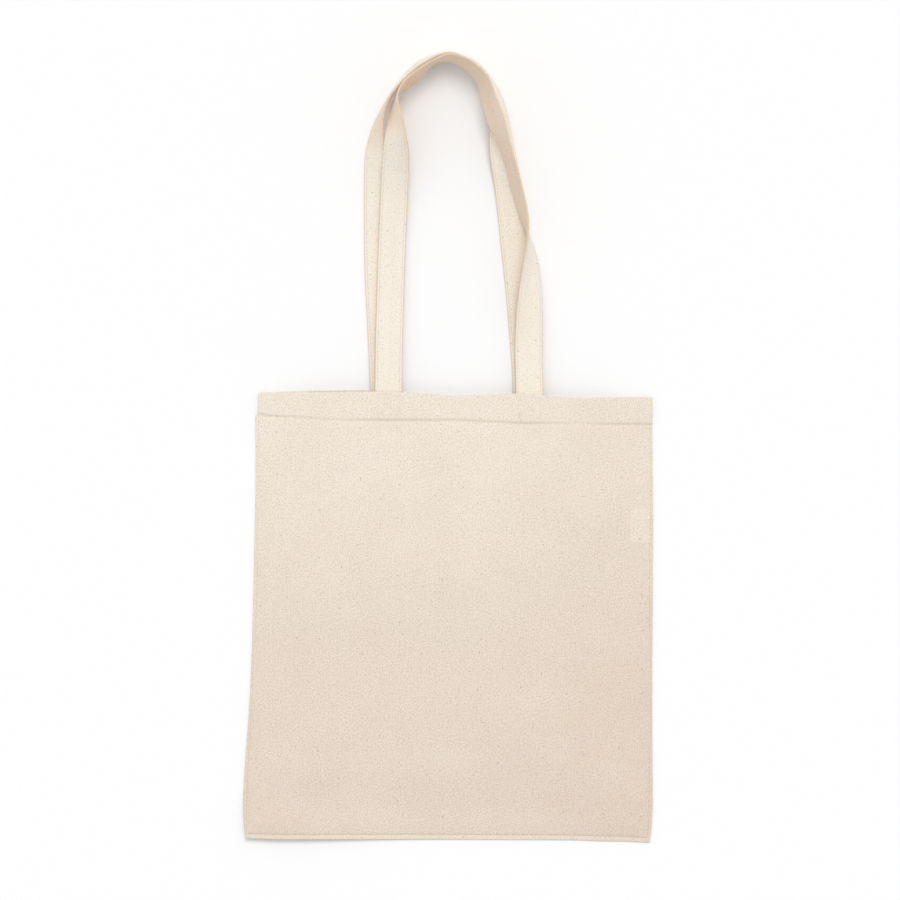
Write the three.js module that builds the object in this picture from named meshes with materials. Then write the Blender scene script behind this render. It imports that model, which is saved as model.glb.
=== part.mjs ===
// A canvas tote bag lying on its back panel: two panels sewn round three sides, a folded
// hem at the mouth, and two long strap handles sewn inside it. Millimetres, +Z up. The
// origin is the middle of the back panel's outer face, and +Y points to the handles.

import * as THREE from 'three';
import { mergeVertices } from 'three/addons/utils/BufferGeometryUtils.js';

// ---------------------------------------------------------------- driving dimensions
const bagWidth = 376; // across the bag at half height
const bagHeight = 422; // from the bottom seam to the hem's top edge
const sideFlare = 6.5; // the left side leans out this much at the bottom, and in at the mouth
const sideBow = 2.9; // how far the left side bows inwards at half height
const cornerTaper = 3; // how far the bottom right corner is pulled in
const cornerLength = 45; // over this length of the right side

const clothThickness = 0.6;
const seamAllowance = 10; // turned in along the sides and the bottom
const seamLayers = 2; // a panel with its own turned-in edge
const hemDepth = 24.5;
const hemLayers = 3; // folded twice at the mouth
const edgeStep = 0.4; // how quickly a turned-in layer ends

const puffWidth = 60; // how far from its seams the front panel takes to reach full height
const mouthGap = 2.1; // between the two handles' sewn ends, one above the other

const handleWidth = 25.5;
const handleThickness = 2;
const handleSpacing = 133; // between the middles of a handle's two legs, at the hem
const handleReach = 322; // from the hem to the far side of the arcs
const handleOffset = 5; // the handles' middle line, to the right of the bag's
const backHandleBeside = 0.18; // the back handle's left leg lies this many widths further left
const handleEndInset = 2.5; // from the hem's folded edge to a handle's sewn end

const threadWidth = 0.6;
const threadThickness = 0.4;
const hemStitchInset = 1.5; // from the hem's folded edge
const backHemStitchStart = 24; // from the bag's edge, where the front panel clears the thread
const seamStitchInset = 1.8; // from the bag's outer edge
const boxStitchInset = 2.5; // from the edges of a handle's sewn end
const handleStitchInset = 2.2; // from the handle's edges
const overlockWidth = 1.2;

const labelWidth = 18.5;
const labelHeight = 31;
const labelThickness = 0.4;
const labelMiddle = 86; // along the right side seam, above the bag's middle

const gap = 0.3; // between pieces that touch
const twistGap = 0.5; // between a twisting handle and the stitching along it
const strapClearance = 1.1; // between the two handles, over the stitching of the lower one

// ------------------------------------------------------- heights worked out from these
const hemThickness = hemLayers * clothThickness;
const allowanceTop = seamLayers * clothThickness;
const seamThreadBottom = allowanceTop + gap;
const seamStackTop = seamThreadBottom + threadThickness + gap + allowanceTop;
const frontEdgeTop = Math.max(seamStackTop, 2 * hemThickness + gap);
const backEndBottom = hemThickness + gap;
const backEndTop = backEndBottom + handleThickness;
const backBoxTop = backEndTop + gap + threadThickness;
const frontEndBottom = backBoxTop + mouthGap;
const frontEndTop = frontEndBottom + handleThickness;
const frontPlateau = frontEndTop + gap + hemThickness;

const bottomY = -bagHeight / 2;
const hemTop = bagHeight / 2;
const hemBottom = hemTop - hemDepth;
const handleTuck = hemDepth - handleEndInset; // the length of a sewn end

// ------------------------------------------------------------------------- colours
const canvas = { color: 0xe8dccb, roughness: 0.95, metalness: 0 };
const strapCloth = { color: 0xefe5d6, roughness: 0.95, metalness: 0 };
const thread = { color: 0xeee3d2, roughness: 0.8, metalness: 0 };
const labelCloth = { color: 0xf3efe8, roughness: 0.7, metalness: 0 };

const part = new THREE.Group();

function addMesh(name, geometry, finish) {
  const mesh = new THREE.Mesh(geometry, new THREE.MeshStandardMaterial(finish));
  mesh.name = name;
  part.add(mesh);
  return mesh;
}

// ------------------------------------------------------------------- the bag's outline
function leftSide(y) {
  const v = y / hemTop;
  return -bagWidth / 2 + sideFlare * v - sideBow * v * v;
}

function rightSide(y) {
  const t = Math.max(0, (bottomY + cornerLength - y) / cornerLength);
  return bagWidth / 2 - cornerTaper * t * t;
}

// From 0 over a seam's turned-in edge to 1 at the panel's full height.
function riseFrom(distance) {
  return THREE.MathUtils.clamp((distance - seamAllowance) / puffWidth, 0, 1);
}

// The front panel's outer face, which puffs up between its three seams.
function frontTop(x, y) {
  const rise = riseFrom(x - leftSide(y)) * riseFrom(rightSide(y) - x) * riseFrom(y - bottomY);
  return frontEdgeTop + (frontPlateau - frontEdgeTop) * rise;
}

// ------------------------------------------------------------------- mapped boxes
// A box of across x along x 1 cells whose corners are moved by place(i, j, k).
function mappedBox(across, along, place) {
  let geometry = new THREE.BoxGeometry(1, 1, 1, across, along, 1);
  geometry.deleteAttribute('normal');
  geometry.deleteAttribute('uv');
  geometry = mergeVertices(geometry);
  const spots = geometry.attributes.position;
  for (let n = 0; n < spots.count; n += 1) {
    const i = Math.round((spots.getX(n) + 0.5) * across);
    const j = Math.round((spots.getY(n) + 0.5) * along);
    const k = Math.round(spots.getZ(n) + 0.5);
    spots.setXYZ(n, ...place(i, j, k));
  }
  geometry.computeVertexNormals();
  return geometry;
}

// Where a panel's faces change, from its seam inwards: its turned-in edge ends, then the
// front panel reaches its full height.
const seamStations = [0, seamAllowance, seamAllowance + edgeStep, seamAllowance + puffWidth];
const hemStations = [0, hemDepth, hemDepth + edgeStep];
const middleCells = 4;

// Distances along a length, from those at its start to those counted back from its end.
function stations(length, fromStart, fromEnd) {
  const first = fromStart[fromStart.length - 1];
  const step = (length - first - fromEnd[fromEnd.length - 1]) / middleCells;
  const middle = Array.from({ length: middleCells - 1 }, (_, n) => first + step * (n + 1));
  return [...fromStart, ...middle, ...fromEnd.map((distance) => length - distance).reverse()];
}

const panelYs = stations(bagHeight, seamStations, hemStations).map((along) => bottomY + along);

// A panel with its hem and its turned-in seam edges. heights(x, y, thickness) gives the
// lower and upper face.
function panel(heights) {
  const last = panelYs.length - 1;
  const lastAcross = stations(bagWidth, seamStations, seamStations).length - 1;
  return mappedBox(lastAcross, last, (i, j, k) => {
    const y = panelYs[j];
    const x = leftSide(y) + stations(rightSide(y) - leftSide(y), seamStations, seamStations)[i];
    const inHem = j >= last - 1;
    const inSeam = i <= 1 || i >= lastAcross - 1 || j <= 1;
    const layers = inSeam ? seamLayers : inHem ? hemLayers : 1;
    return [x, y, heights(x, y, layers * clothThickness)[k]];
  });
}

addMesh('back_panel', panel((x, y, thickness) => [0, thickness]), canvas);
addMesh('front_panel', panel((x, y, thickness) => {
  const top = frontTop(x, y);
  return [top - thickness, top];
}), canvas);

// -------------------------------------------------------------------------- handles
// A handle's route: [across, reach, lift, roll]. across is -1 at the left leg and 1 at the
// right one, reach is 0 at the hem and 1 at the far side of the arcs, lift is how far the
// strap is held up by the one it crosses, in strap widths, and roll is 0 where it lies
// flat, 90 where it stands on its outer edge and more where it leans outwards. A fifth
// number is how many strap widths it lies left of there, beside the other handle.
const frontRoute = [
  [-1.0, 0, 0, 0], [-1.0, 0.03, 0, 0], [-0.99, 0.16, 0, 0], [-0.962, 0.363, 0, 0],
  [-0.947, 0.451, 0.01, 0], [-0.923, 0.569, 0.12, 2], [-0.905, 0.642, 0.36, 6],
  [-0.89, 0.7, 0.64, 17], [-0.893, 0.745, 0.77, 35], [-0.893, 0.789, 0.66, 52],
  [-0.905, 0.833, 0.48, 69], [-0.874, 0.871, 0.36, 88], [-0.752, 0.903, 0.29, 104],
  [-0.552, 0.938, 0.25, 106], [-0.353, 0.972, 0.23, 94], [-0.126, 0.983, 0.27, 104],
  [0.122, 0.962, 0.4, 112], [0.326, 0.921, 0.55, 116], [0.432, 0.856, 0.62, 123],
  [0.528, 0.798, 0.66, 127], [0.669, 0.711, 0.46, 114], [0.812, 0.611, 0.1, 112],
  [0.925, 0.519, 0, 106], [0.989, 0.454, 0, 84], [1.018, 0.387, 0, 56],
  [1.015, 0.322, 0, 37], [0.998, 0.222, 0, 14], [0.99, 0.13, 0, 0],
  [1.0, 0.03, 0, 0], [1.0, 0, 0, 0],
];
const backRoute = [
  [-1.0, 0, 0, 0], [-1.0, 0.03, 0, 0], [-1.036, 0.187, 0, 0], [-1.074, 0.363, 0, 0],
  [-1.05, 0.51, 0, 2, 0.09], [-0.91, 0.628, 0, 17, 0.47], [-0.89, 0.686, 0, 35, 0.57],
  [-0.87, 0.745, 0, 55, 0.61], [-0.79, 0.804, 0, 75, 0.69], [-0.76, 0.863, 0, 86, 0.46],
  [-0.739, 0.92, 0, 84], [-0.46, 0.972, 0, 80], [-0.056, 1.0, 0, 88],
  [0.28, 0.971, 0, 80], [0.505, 0.917, 0, 77], [0.613, 0.871, 0, 72],
  [0.655, 0.821, 0, 58], [0.658, 0.768, 0, 36], [0.688, 0.709, 0, 18],
  [0.763, 0.618, 0, 5], [0.825, 0.504, 0, 0], [0.945, 0.26, 0, 0],
  [1.03, 0.03, 0, 0], [1.03, 0, 0, 0],
];
const stationsPerPoint = 3;

// Where the arcs' far side is: the back handle's outer face.
const arcReach = handleReach - handleThickness / 2;

// firstX is the left leg's middle at the hem, restHeight what the strap lies on, hemHeight
// the underside of its sewn ends, and landing the share of the reach over which it comes
// down from there.
function handlePath(route, { firstX, restHeight, hemHeight, landing }) {
  const legX = (across) => handleOffset + (across * handleSpacing) / 2;
  const shift = firstX - legX(-1);
  const plan = new THREE.CatmullRomCurve3(route.map(([across, reach, , , beside = 0]) => {
    const x = legX(across) + shift - beside * handleWidth;
    return new THREE.Vector3(x, hemTop + gap + reach * (arcReach - gap), 0);
  }), false, 'centripetal');
  const posture = new THREE.CatmullRomCurve3(
    route.map(([, reach, lift, roll]) => new THREE.Vector3(lift, roll, reach)),
    false,
    'catmullrom',
  );
  return (t) => {
    const { x: lift, y: rollDegrees, z: reach } = posture.getPoint(t);
    const roll = THREE.MathUtils.degToRad(Math.max(0, rollDegrees));
    const slope = Math.max(0, 1 - Math.max(0, reach) / landing) ** 2;
    const stand = restHeight + Math.max(0, lift) * handleWidth + (hemHeight - restHeight) * slope;
    const halfHeight = (handleWidth * Math.sin(roll) + handleThickness * Math.abs(Math.cos(roll))) / 2;
    const centre = plan.getPoint(t).setZ(stand + halfHeight);
    const forward = plan.getTangent(t);
    const outward = new THREE.Vector3(-forward.y, forward.x, 0).normalize();
    const width = outward.clone().multiplyScalar(Math.cos(roll)).setZ(-Math.sin(roll));
    const face = outward.clone().multiplyScalar(Math.sin(roll)).setZ(Math.cos(roll));
    return { centre, width, face };
  };
}

// A ribbon that follows a handle: from low to high across its width, and from under to over
// its middle surface.
function ribbon(path, pieces, [low, high], [under, over]) {
  return mappedBox(1, pieces, (i, j, k) => {
    const { centre, width, face } = path(j / pieces);
    const spot = centre.clone();
    spot.addScaledVector(width, i === 0 ? high : low);
    spot.addScaledVector(face, k === 0 ? under : over);
    return spot.toArray();
  });
}

function addHandle(name, route, rest) {
  const path = handlePath(route, rest);
  const pieces = (route.length - 1) * stationsPerPoint;
  const half = handleWidth / 2;
  const faceTop = handleThickness / 2;
  addMesh(name, ribbon(path, pieces, [-half, half], [-faceTop, faceTop]), strapCloth);
  const stitchMiddle = half - handleStitchInset;
  for (const [edge, side] of [['outer', 1], ['inner', -1]]) {
    const middle = side * stitchMiddle;
    const across = [middle - threadWidth / 2, middle + threadWidth / 2];
    const over = [faceTop + twistGap, faceTop + twistGap + threadThickness];
    addMesh(`${name}_${edge}_stitching`, ribbon(path, pieces, across, over), thread);
  }
}

const frontLeftX = handleOffset - handleSpacing / 2;
const frontRightX = handleOffset + handleSpacing / 2;
const backLeftX = frontLeftX - backHandleBeside * handleWidth;
const backRightX = backLeftX + ((1 + backRoute[backRoute.length - 1][0]) * handleSpacing) / 2;

addHandle('front_handle', frontRoute, {
  firstX: frontLeftX,
  restHeight: handleThickness + strapClearance,
  hemHeight: frontEndBottom,
  landing: 0.42,
});
addHandle('back_handle', backRoute, {
  firstX: backLeftX,
  restHeight: 0,
  hemHeight: backEndBottom,
  landing: 0.2,
});

// The sewn ends, which stay with the panels when a handle swings.
function addHandleEnd(name, x, bottom) {
  const geometry = new THREE.BoxGeometry(handleWidth, handleTuck, handleThickness);
  const end = addMesh(name, geometry, strapCloth);
  end.position.set(x, hemTop - handleTuck / 2, bottom + handleThickness / 2);
}

addHandleEnd('front_handle_left_end', frontLeftX, frontEndBottom);
addHandleEnd('front_handle_right_end', frontRightX, frontEndBottom);
addHandleEnd('back_handle_left_end', backLeftX, backEndBottom);
addHandleEnd('back_handle_right_end', backRightX, backEndBottom);

// -------------------------------------------------------------------------- stitching
// A rectangle of stitching with a cross in it, over a handle's sewn end: one outline with
// the four triangles between its threads cut out.
function addBoxStitch(name, x, bottom) {
  const a = handleWidth / 2 - boxStitchInset;
  const b = handleTuck / 2 - boxStitchInset;
  const half = threadWidth / 2;
  const outline = new THREE.Shape([
    new THREE.Vector2(-a - half, -b - half),
    new THREE.Vector2(a + half, -b - half),
    new THREE.Vector2(a + half, b + half),
    new THREE.Vector2(-a - half, b + half),
  ]);
  const crossing = half * Math.hypot(a, b);
  const spread = (a * (b - half) - crossing) / b;
  const rise = (b * (a - half) - crossing) / a;
  for (const side of [-1, 1]) {
    outline.holes.push(new THREE.Path([
      new THREE.Vector2(0, (side * crossing) / a),
      new THREE.Vector2(-spread, side * (b - half)),
      new THREE.Vector2(spread, side * (b - half)),
    ]));
    outline.holes.push(new THREE.Path([
      new THREE.Vector2((side * crossing) / b, 0),
      new THREE.Vector2(side * (a - half), -rise),
      new THREE.Vector2(side * (a - half), rise),
    ]));
  }
  const settings = { depth: threadThickness, bevelEnabled: false };
  const stitch = addMesh(name, new THREE.ExtrudeGeometry(outline, settings), thread);
  stitch.position.set(x, hemTop - handleTuck / 2, bottom);
}

addBoxStitch('front_handle_left_box_stitch', frontLeftX, frontPlateau + gap);
addBoxStitch('front_handle_right_box_stitch', frontRightX, frontPlateau + gap);
addBoxStitch('back_handle_left_box_stitch', backLeftX, backEndTop + gap);
addBoxStitch('back_handle_right_box_stitch', backRightX, backEndTop + gap);

const hemThreadY = hemBottom + hemStitchInset;

// A thread along the hem, over the face that height(x, y) gives. bends are its distances
// from the bag's edges where that face bends, with its end first.
function addHemStitching(name, height, bends) {
  addMesh(name, mappedBox(2 * bends.length - 1, 1, (i, j, k) => {
    const y = hemThreadY + (j - 0.5) * threadWidth;
    const fromRight = i >= bends.length;
    const x = fromRight ? rightSide(y) - bends[2 * bends.length - 1 - i] : leftSide(y) + bends[i];
    return [x, y, height(x, y) + gap + k * threadThickness];
  }), thread);
}

const puffTop = seamAllowance + puffWidth;
addHemStitching('front_hem_stitching', frontTop, [seamStitchInset, seamAllowance, puffTop]);
addHemStitching('back_hem_stitching', () => hemThickness, [backHemStitchStart, puffTop]);

// A bar that follows a side seam, bending where the panels do. near and far are its
// distances from the bag's edge.
function sideBar(edge, inwards, [near, far], [low, high], [fromY, toY]) {
  const ys = [fromY, ...panelYs.filter((y) => y > fromY && y < toY), toY];
  return mappedBox(1, ys.length - 1, (i, j, k) => {
    const nearSide = inwards > 0 ? i === 0 : i === 1;
    return [edge(ys[j]) + inwards * (nearSide ? near : far), ys[j], k === 0 ? low : high];
  });
}

const seamRun = [seamStitchInset, seamStitchInset + threadWidth];
const seamHeights = [seamThreadBottom, seamThreadBottom + threadThickness];
const overlockRun = [seamAllowance + edgeStep + gap, seamAllowance + edgeStep + gap + overlockWidth];
const overlockHeights = [clothThickness + gap, allowanceTop];
const seamLengths = [bottomY + seamRun[1] + gap, hemTop - gap];
const overlockLengths = [bottomY + overlockRun[1] + gap, hemBottom - edgeStep - gap];

for (const [side, edge, inwards] of [['left', leftSide, 1], ['right', rightSide, -1]]) {
  const seam = sideBar(edge, inwards, seamRun, seamHeights, seamLengths);
  addMesh(`${side}_seam_stitching`, seam, thread);
  const overlock = sideBar(edge, inwards, overlockRun, overlockHeights, overlockLengths);
  addMesh(`${side}_overlock`, overlock, thread);
}

// A bar along the bottom seam, between the two sides' turned-in edges or threads.
function addBottomBar(name, [near, far], [low, high], sideInset) {
  const middle = bottomY + (near + far) / 2;
  const left = leftSide(middle) + sideInset;
  const right = rightSide(middle) - sideInset;
  const bar = new THREE.BoxGeometry(right - left, far - near, high - low);
  const mesh = addMesh(name, bar, thread);
  mesh.position.set((left + right) / 2, middle, (low + high) / 2);
}

addBottomBar('bottom_seam_stitching', seamRun, seamHeights, seamStitchInset);
addBottomBar('bottom_overlock', overlockRun, overlockHeights, overlockRun[0]);

// ------------------------------------------------------------------------ care label
// A blank folded label, caught between the turned-in edges of the right side seam.
const labelRight = rightSide(labelMiddle) - seamRun[1] - gap;
const label = addMesh(
  'care_label',
  new THREE.BoxGeometry(labelWidth, labelHeight, labelThickness),
  labelCloth,
);
label.position.set(labelRight - labelWidth / 2, labelMiddle, seamThreadBottom + labelThickness / 2);

export default part;
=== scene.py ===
import math

import bpy
import numpy as np
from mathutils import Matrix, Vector, noise


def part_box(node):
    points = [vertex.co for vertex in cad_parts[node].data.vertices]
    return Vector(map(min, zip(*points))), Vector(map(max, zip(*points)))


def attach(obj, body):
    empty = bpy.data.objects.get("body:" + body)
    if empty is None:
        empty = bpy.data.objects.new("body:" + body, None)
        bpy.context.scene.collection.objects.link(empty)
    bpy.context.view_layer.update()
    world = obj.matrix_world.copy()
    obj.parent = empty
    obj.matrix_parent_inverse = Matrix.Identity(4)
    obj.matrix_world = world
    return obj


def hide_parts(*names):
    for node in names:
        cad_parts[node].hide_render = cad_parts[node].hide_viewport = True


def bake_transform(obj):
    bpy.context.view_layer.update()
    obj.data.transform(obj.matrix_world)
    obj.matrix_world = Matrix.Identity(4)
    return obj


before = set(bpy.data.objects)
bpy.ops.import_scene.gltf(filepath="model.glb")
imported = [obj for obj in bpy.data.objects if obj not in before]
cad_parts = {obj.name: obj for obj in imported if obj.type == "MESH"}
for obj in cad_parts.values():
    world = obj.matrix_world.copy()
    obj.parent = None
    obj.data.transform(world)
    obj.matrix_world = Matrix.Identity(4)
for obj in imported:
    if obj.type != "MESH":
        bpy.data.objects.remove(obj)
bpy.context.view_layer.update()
MM = 0.001

# ------------------------------------------------------------ places and sizes of the frame
BACK_LOW, BACK_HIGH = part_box("back_panel")
FRONT_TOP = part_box("front_panel")[1].z
HEM_THREAD_LOW, HEM_THREAD_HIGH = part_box("front_hem_stitching")
LABEL_LOW, LABEL_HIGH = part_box("care_label")
OVERLOCK_LOW, OVERLOCK_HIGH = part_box("bottom_overlock")

TOP = BACK_HIGH.y
BOTTOM = BACK_LOW.y
RIGHT = BACK_HIGH.x

CLOTH = 0.6 * MM
SEAM = 10 * MM
HEM = 24.5 * MM
HEM_BOTTOM = TOP - HEM
HEM_LAYERS = 3
SEAM_LAYERS = 1.5  # two layers, pressed
FLARE = 6.5 * MM
BOW = 2.9 * MM
LEFT_MIDDLE = BACK_LOW.x + FLARE + BOW
CORNER_TAPER = 3 * MM
CORNER_LENGTH = 45 * MM
PUFF_WIDTH = 60 * MM
HEM_THREAD_Y = (HEM_THREAD_LOW.y + HEM_THREAD_HIGH.y) / 2
HANDLE_SPACING = 133 * MM
HANDLE_OFFSET = 5 * MM
STRAP_MIDDLES = (HANDLE_OFFSET - HANDLE_SPACING / 2, HANDLE_OFFSET + HANDLE_SPACING / 2)

# How far the front panel's edge sits inside the back panel's, which shows beyond it.
SIDE_PEEK = 2.8 * MM
BOTTOM_PEEK = 4.6 * MM
# Where the two halves of the front panel meet.
SPLIT_X = 3 * MM
# Lines across the front panel near its sides; joined_to_front reads them but nothing uses them.
LEFT_OPENS = -76 * MM
RIGHT_OPENS = 88 * MM

# How the panels' mouth edges, the hem's ledge and the bottom wander, in mm: (x, rise).
FRONT_HEM_EDGE = [(-188, 0.9), (-130, 1.3), (-73, 1.9), (-45, 1.2), (6, -1.9), (56, 0), (86, -1.6),
                  (115, -3.9), (150, -4.2), (188, -3.4)]
BACK_HEM_EDGE = [(-188, 1.2), (-125, 3.2), (-90, 3.6), (-45, 1.4), (6, -1.6), (56, 0.1), (86, -1.8),
                 (115, -3.8), (188, -3.2)]
HEM_LEDGE = [(-188, 4.9), (-159, 2.9), (-107, -0.2), (6, -0.4), (30, -1.4), (66, -3.2), (188, -4.1)]
BOTTOM_EDGE = [(-197, 2.2), (-160, 1.3), (-30, 1.2), (100, 0.6), (157, -0.7), (188, -1.9)]
# The gutter just under the front hem: (x, depth).
GUTTER = [(-188, 1.0), (-174, 0.9), (-158, 0.35), (-115, 0.4), (-98, 0.8), (6, 0.8), (30, 0.35), (188, 0.5)]


def ramp(value, low, high):
    """0 below low, 1 above high, and a smooth rise between them."""
    t = np.clip((value - low) / (high - low), 0, 1)
    return t * t * (3 - 2 * t)


def bump(value, middle, width):
    return np.exp(-(((value - middle) / width) ** 2))


def line(points, x):
    """The height in metres, at x, of a soft line through points given in millimetres."""
    xs = np.array([p[0] for p in points]) * MM
    rises = np.array([p[1] for p in points]) * MM
    k = np.clip(np.searchsorted(xs, x) - 1, 0, len(xs) - 2)
    return rises[k] + (rises[k + 1] - rises[k]) * ramp(x, xs[k], xs[k + 1])


def ripple(x, y, size, seed):
    """Even, gentle noise from -1 to 1, with bumps about size across."""
    flat = [noise.noise(Vector((a / size, b / size, seed))) for a, b in zip(np.ravel(x), np.ravel(y))]
    return np.array(flat).reshape(np.shape(x))


# ------------------------------------------------------------------------ mesh building
def mesh_piece(name, points, faces, cloth=None, flat_faces=()):
    """A mesh, smooth but for flat_faces. cloth holds each point's place on the flat cloth."""
    mesh = bpy.data.meshes.new(name)
    mesh.from_pydata([tuple(p) for p in points], [], faces)
    smooth = np.ones(len(faces), bool)
    smooth[list(flat_faces)] = False
    mesh.polygons.foreach_set("use_smooth", smooth)
    layer = mesh.uv_layers.new(name="cloth")
    spots = np.zeros(len(mesh.loops), np.int32)
    mesh.loops.foreach_get("vertex_index", spots)
    cloth = np.asarray(points)[:, :2] if cloth is None else np.asarray(cloth)
    layer.uv.foreach_set("vector", cloth[spots].astype(np.float32).ravel())
    if len(flat_faces):
        sharp = mesh.attributes.new("sharp_edge", "BOOLEAN", "EDGE")
        for n in flat_faces:
            for corner in mesh.polygons[n].loop_indices:
                sharp.data[mesh.loops[corner].edge_index].value = True
    mesh.update()
    piece = bpy.data.objects.new(name, mesh)
    bpy.context.scene.collection.objects.link(piece)
    return piece


def shell(name, top, bottom, cloth, closed_sides):
    """A closed shell between two grids of points. The grids share their border points, except
    on closed_sides, the sides where a flat wall joins them: 'low x', 'high x'."""
    across, along = top.shape[:2]
    shared = np.zeros((across, along), bool)
    shared[:, [0, -1]] = True
    shared[0, :] = "low x" not in closed_sides
    shared[-1, :] = "high x" not in closed_sides
    count = across * along
    upper = np.arange(count).reshape(across, along)
    lower = np.where(shared, upper, 0)
    lower[~shared] = count + np.arange((~shared).sum())
    points = np.concatenate([top.reshape(-1, 3), bottom[~shared]])
    places = np.concatenate([cloth.reshape(-1, 2), cloth[~shared]])
    faces = []
    for i in range(across - 1):
        for j in range(along - 1):
            faces.append((upper[i, j], upper[i + 1, j], upper[i + 1, j + 1], upper[i, j + 1]))
            faces.append((lower[i, j], lower[i, j + 1], lower[i + 1, j + 1], lower[i + 1, j]))
    walls = []
    for side, i in (("low x", 0), ("high x", across - 1)):
        if side not in closed_sides:
            continue
        for j in range(along - 1):
            loop = [upper[i, j], upper[i, j + 1], lower[i, j + 1], lower[i, j]]
            loop = list(dict.fromkeys(loop if i == 0 else loop[::-1]))
            walls.append(len(faces))
            faces.append(tuple(loop))
    faces = [tuple(int(n) for n in face) for face in faces]
    return mesh_piece(name, points, faces, places, walls)


def swept(name, sections, cloth):
    """A capped tube through closed sections, an array of stations x points x 3."""
    stations, around = sections.shape[:2]
    index = np.arange(stations * around).reshape(stations, around)
    faces = []
    for i in range(stations - 1):
        for k in range(around):
            n = (k + 1) % around
            faces.append((int(index[i, k]), int(index[i, n]), int(index[i + 1, n]), int(index[i + 1, k])))
    ends = [len(faces), len(faces) + 1]
    faces.append(tuple(int(n) for n in index[0][::-1]))
    faces.append(tuple(int(n) for n in index[-1]))
    return mesh_piece(name, sections.reshape(-1, 3), faces, cloth.reshape(-1, 2), ends)


STITCH_RINGS = [(-0.5, 0.35, -0.9), (-0.42, 0.8, -0.4), (-0.2, 1, 0), (0.2, 1, 0), (0.42, 0.8, -0.4),
                (0.5, 0.35, -0.9)]
STITCH_SIDES = 6


def stitches(name, starts, ends, ups, radius, fill=0.84):
    """A row of stitches, each a short bowed thread whose ends dip into the cloth. fill is the
    share of each step that its thread takes."""
    starts, ends, ups = (np.asarray(a, float) for a in (starts, ends, ups))
    run = ends - starts
    length = np.linalg.norm(run, axis=1, keepdims=True)
    run = run / length
    side = np.cross(ups, run)
    side /= np.linalg.norm(side, axis=1, keepdims=True)
    lift = np.cross(run, side)
    middle = (starts + ends) / 2
    points = []
    for at, size, sink in STITCH_RINGS:
        for k in range(STITCH_SIDES):
            turn = 2 * math.pi * k / STITCH_SIDES
            spot = middle + run * (at * fill * length)
            spot = spot + side * (radius * size * math.cos(turn))
            points.append(spot + lift * (radius * (size * math.sin(turn) * 0.8 + sink)))
    points = np.stack(points, 1)
    each = points.shape[1]
    template = []
    for ring in range(len(STITCH_RINGS) - 1):
        for k in range(STITCH_SIDES):
            a = ring * STITCH_SIDES + k
            b = ring * STITCH_SIDES + (k + 1) % STITCH_SIDES
            template.append((a, b, b + STITCH_SIDES, a + STITCH_SIDES))
    template.append(tuple(range(STITCH_SIDES))[::-1])
    template.append(tuple(range(each - STITCH_SIDES, each)))
    faces = [tuple(n * each + k for k in face) for n in range(len(points)) for face in template]
    around = np.tile(np.arange(each) % STITCH_SIDES, len(points)) * radius
    rings = np.tile(np.arange(each) // STITCH_SIDES, len(points))
    ahead = np.repeat(np.cumsum(length[:, 0]), each) + rings * radius
    return mesh_piece(name, points.reshape(-1, 3), faces, np.stack([around, ahead], 1))


def walk(route, pitch):
    """The ends of equal steps, about pitch long, along a polyline of points."""
    route = np.asarray(route, float)
    far = np.concatenate([[0], np.cumsum(np.linalg.norm(np.diff(route, axis=0), axis=1))])
    count = max(1, round(far[-1] / pitch))
    marks = np.linspace(0, far[-1], count + 1)
    return np.stack([np.interp(marks, far, route[:, k]) for k in range(3)], 1)


# --------------------------------------------------------------------- the bag's outline
def left_side(y):
    """The hem's left edge, and the line that the panels' left edges wander about."""
    v = y / TOP
    return LEFT_MIDDLE + FLARE * v - BOW * v * v


def right_side(y):
    """The same on the right, where the bottom corner tapers inwards."""
    t = np.clip((BOTTOM + CORNER_LENGTH - y) / CORNER_LENGTH, 0, 1)
    return RIGHT - CORNER_TAPER * t * t


def in_hem(y):
    """1 in the hem and 0 below it."""
    return ramp(y, HEM_BOTTOM - 0.9 * MM, HEM_BOTTOM + 0.9 * MM)


def side_peek(y):
    """How far the back panel's side edges show beyond the front panel's."""
    return SIDE_PEEK * (1 - in_hem(y)) * (0.9 + 0.25 * np.sin(y / (31 * MM) + 0.6))


def waist(y):
    """The left side draws in a little at half height."""
    return bump(y, 22 * MM, 65 * MM)


def back_left(y):
    """The back panel's left edge, whose foot turns inwards."""
    low_wave = 0.5 * MM * bump(y, -150 * MM, 45 * MM) - 3.2 * MM * bump(y, BOTTOM, 22 * MM)
    return left_side(y) - side_peek(y) - low_wave + 1.5 * MM * waist(y)


def front_left(y):
    """The front panel's left edge, whose foot turns inwards."""
    waves = 0.2 * MM * np.sin(y / (17 * MM)) - 0.4 * MM * bump(y, -150 * MM, 40 * MM)
    return left_side(y) + waves + 1.3 * MM * waist(y) + 1.2 * MM * bump(y, BOTTOM, 22 * MM)


def back_right(y):
    return right_side(y) + 0.5 * MM * np.sin(y / (48 * MM)) * (1 - in_hem(y))


def front_right(y):
    return right_side(y) - side_peek(y) + 0.2 * MM * np.sin(y / (19 * MM) + 1)


# ------------------------------------------------------------------------------- panels
# How far in from a panel's edges its points lie, closer together where the cloth folds.
RIM_STEPS = np.array([0, 0.12, 0.4, 0.8, 1.5, 2.4, 3.6, 5, 7, 9, 9.8, 10.2, 11, 13, 16]) * MM
MOUTH_STEPS = np.array([0, 0.12, 0.4, 0.9, 2, 4, 7, 11, 15, 18.5, 20.5, 21.8, 22.6, 23.3, 24, 24.5,
                        25, 25.8, 27, 29, 32, 36]) * MM
ACROSS_STEP = 2.6 * MM
ALONG_STEP = 3.2 * MM


def stations(length, from_start, from_end, step):
    """Distances along a length: those at its start, even ones, and those at its end."""
    between = length - from_start[-1] - from_end[-1]
    count = max(2, int(round(between / step)))
    even = from_start[-1] + between * np.arange(1, count) / count
    return np.concatenate([from_start, even, length - from_end[::-1]])


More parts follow.
